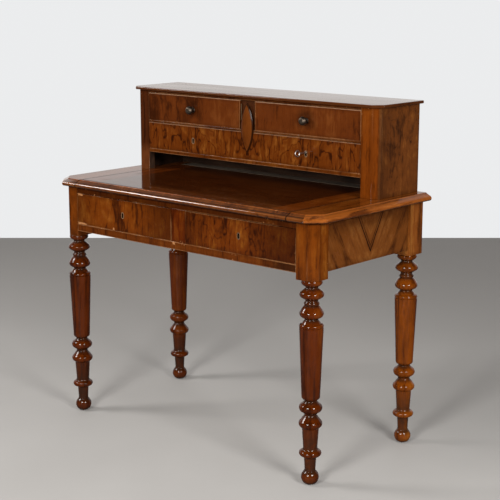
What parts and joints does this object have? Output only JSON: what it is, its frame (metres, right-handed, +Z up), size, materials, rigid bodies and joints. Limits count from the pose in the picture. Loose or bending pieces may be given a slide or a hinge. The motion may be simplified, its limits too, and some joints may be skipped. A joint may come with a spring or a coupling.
{
  "type": "bonheur du jour writing desk",
  "caption": "Walnut writing desk on turned legs with frieze drawers, a pull-out writing top and a low cabinet of drawers over an open recess.",
  "frame": {"origin": "on the floor under the middle of the desk top's outline", "axes": "+X to the right, +Y to the back, +Z up; the drawers open toward -Y"},
  "size_m": [1.076, 0.54, 1.044],
  "materials": {
    "brass": "aged brass",
    "bronze": "dark bronze",
    "leg_walnut": "polished red-brown walnut",
    "pale_wood": "unpolished softwood",
    "steel": "worn steel",
    "walnut": "French-polished figured walnut"
  },
  "bodies": {
    "desk": {"back_corner_blocks": "walnut", "back_rail": "pale_wood", "cabinet_back_panel": "pale_wood", "cabinet_bottom_board": "pale_wood", "cabinet_centre_post": "walnut", "cabinet_corner_posts": "walnut", "cabinet_divider_board": "pale_wood", "cabinet_sides": "walnut", "cabinet_top_board": "walnut", "cabinet_top_rail": "walnut", "drawer_runners_and_guides": "pale_wood", "frieze_bottom_rail": "walnut", "frieze_centre_stile": "walnut", "frieze_top_rail": "walnut", "front_corner_blocks": "walnut", "leg_back_left": "leg_walnut", "leg_back_right": "leg_walnut", "leg_front_left": "leg_walnut", "leg_front_right": "leg_walnut", "side_rails": "walnut", "top_back_strip": "pale_wood", "top_end_left": "walnut", "top_end_right": "walnut"},
    "writing_slide": {"writing_panel": "walnut", "writing_panel_moulding": "walnut", "writing_panel_stops": "pale_wood"},
    "long_drawer": {"long_drawer_front": "walnut", "long_drawer_sides": "pale_wood", "long_drawer_back": "pale_wood", "long_drawer_bottom": "pale_wood", "long_drawer_escutcheons": "brass", "long_drawer_lock_cases": "steel", "lens_ornament": "walnut"},
    "long_drawer_bolt_left": {"long_drawer_lock_left_bolt": "steel"},
    "long_drawer_bolt_right": {"long_drawer_lock_right_bolt": "steel"},
    "key": {"key": "steel"},
    "frieze_drawer_left": {"frieze_drawer_left_front": "walnut", "frieze_drawer_left_sides": "pale_wood", "frieze_drawer_left_back": "pale_wood", "frieze_drawer_left_bottom": "pale_wood", "frieze_drawer_left_lock_escutcheon": "brass", "frieze_drawer_left_lock_case": "steel"},
    "frieze_bolt_left": {"frieze_drawer_left_lock_bolt": "steel"},
    "small_drawer_left": {"small_drawer_left_front": "walnut", "small_drawer_left_sides": "pale_wood", "small_drawer_left_back": "pale_wood", "small_drawer_left_bottom": "pale_wood", "small_drawer_left_knob": "bronze"},
    "frieze_drawer_right": {"frieze_drawer_right_front": "walnut", "frieze_drawer_right_sides": "pale_wood", "frieze_drawer_right_back": "pale_wood", "frieze_drawer_right_bottom": "pale_wood", "frieze_drawer_right_lock_escutcheon": "brass", "frieze_drawer_right_lock_case": "steel"},
    "frieze_bolt_right": {"frieze_drawer_right_lock_bolt": "steel"},
    "small_drawer_right": {"small_drawer_right_front": "walnut", "small_drawer_right_sides": "pale_wood", "small_drawer_right_back": "pale_wood", "small_drawer_right_bottom": "pale_wood", "small_drawer_right_knob": "bronze"}
  },
  "joints": [
    {"name": "writing_slide_pull", "type": "slide", "parent": "desk", "child": "writing_slide", "axis": [0, -1, 0], "range_m": [0, 0.215]},
    {"name": "frieze_drawer_left_pull", "type": "slide", "parent": "desk", "child": "frieze_drawer_left", "axis": [0, -1, 0], "range_m": [0, 0.3]},
    {"name": "frieze_drawer_right_pull", "type": "slide", "parent": "desk", "child": "frieze_drawer_right", "axis": [0, -1, 0], "range_m": [0, 0.3]},
    {"name": "long_drawer_pull", "type": "slide", "parent": "desk", "child": "long_drawer", "axis": [0, -1, 0], "range_m": [0, 0.13]},
    {"name": "small_drawer_left_pull", "type": "slide", "parent": "desk", "child": "small_drawer_left", "axis": [0, -1, 0], "range_m": [0, 0.13]},
    {"name": "small_drawer_right_pull", "type": "slide", "parent": "desk", "child": "small_drawer_right", "axis": [0, -1, 0], "range_m": [0, 0.13]},
    {"name": "frieze_bolt_left_throw", "type": "slide", "parent": "frieze_drawer_left", "child": "frieze_bolt_left", "axis": [0, 0, 1], "range_m": [0, 0.005]},
    {"name": "frieze_bolt_right_throw", "type": "slide", "parent": "frieze_drawer_right", "child": "frieze_bolt_right", "axis": [0, 0, 1], "range_m": [0, 0.005]},
    {"name": "long_bolt_left_throw", "type": "slide", "parent": "long_drawer", "child": "long_drawer_bolt_left", "axis": [0, 0, 1], "range_m": [0, 0.005]},
    {"name": "long_bolt_right_throw", "type": "slide", "parent": "long_drawer", "child": "long_drawer_bolt_right", "axis": [0, 0, 1], "range_m": [0, 0.005]},
    {"name": "key_turn", "type": "hinge", "parent": "long_drawer", "child": "key", "pos_m": [0.23175, 0.058, 0.888], "axis": [0, 1, 0], "range_deg": [0, 180]}
  ],
  "couplings": [
    {"joint": "key_turn", "follows": "long_bolt_right_throw", "rad_per_m": 628}
  ]
}
